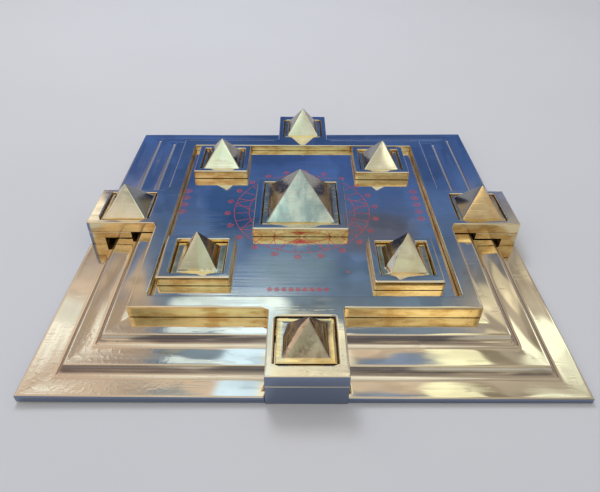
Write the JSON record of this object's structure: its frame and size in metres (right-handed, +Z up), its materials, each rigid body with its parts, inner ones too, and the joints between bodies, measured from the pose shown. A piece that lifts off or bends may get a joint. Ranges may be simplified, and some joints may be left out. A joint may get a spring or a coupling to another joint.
{
  "type": "vastu yantra plate",
  "caption": "Square stepped brass plate with a raised cross-armed frame, an engraved inset plate and pyramids seated in square wells.",
  "frame": {"origin": "centre of the underside, on the surface the plate stands on", "axes": "+Z up out of the plate, +X to the right and -Y towards the front as the plate is seen, both along its sides"},
  "size_m": [0.2316, 0.23, 0.04],
  "materials": {
    "cast_brass": "hand buffed",
    "polished_brass": "polished",
    "mirror_brass": "mirror polished, engraved",
    "filed_brass": "filed and polished",
    "red_filling": "worn red filling in the engraved lines"
  },
  "bodies": {
    "root": {"base_plate": "cast_brass", "raised_frame": "polished_brass", "engraved_plate": "mirror_brass", "bracket_front": "cast_brass", "bracket_right": "cast_brass", "bracket_back": "cast_brass", "bracket_left": "cast_brass", "centre_socket": "polished_brass", "socket_front_left": "polished_brass", "socket_front_right": "polished_brass", "socket_back_left": "polished_brass", "socket_back_right": "polished_brass", "pyramid_centre": "filed_brass", "pyramid_front": "filed_brass", "pyramid_right": "filed_brass", "pyramid_back": "filed_brass", "pyramid_left": "filed_brass", "pyramid_front_left": "filed_brass", "pyramid_front_right": "filed_brass", "pyramid_back_left": "filed_brass", "pyramid_back_right": "filed_brass"}
  },
  "joints": []
}
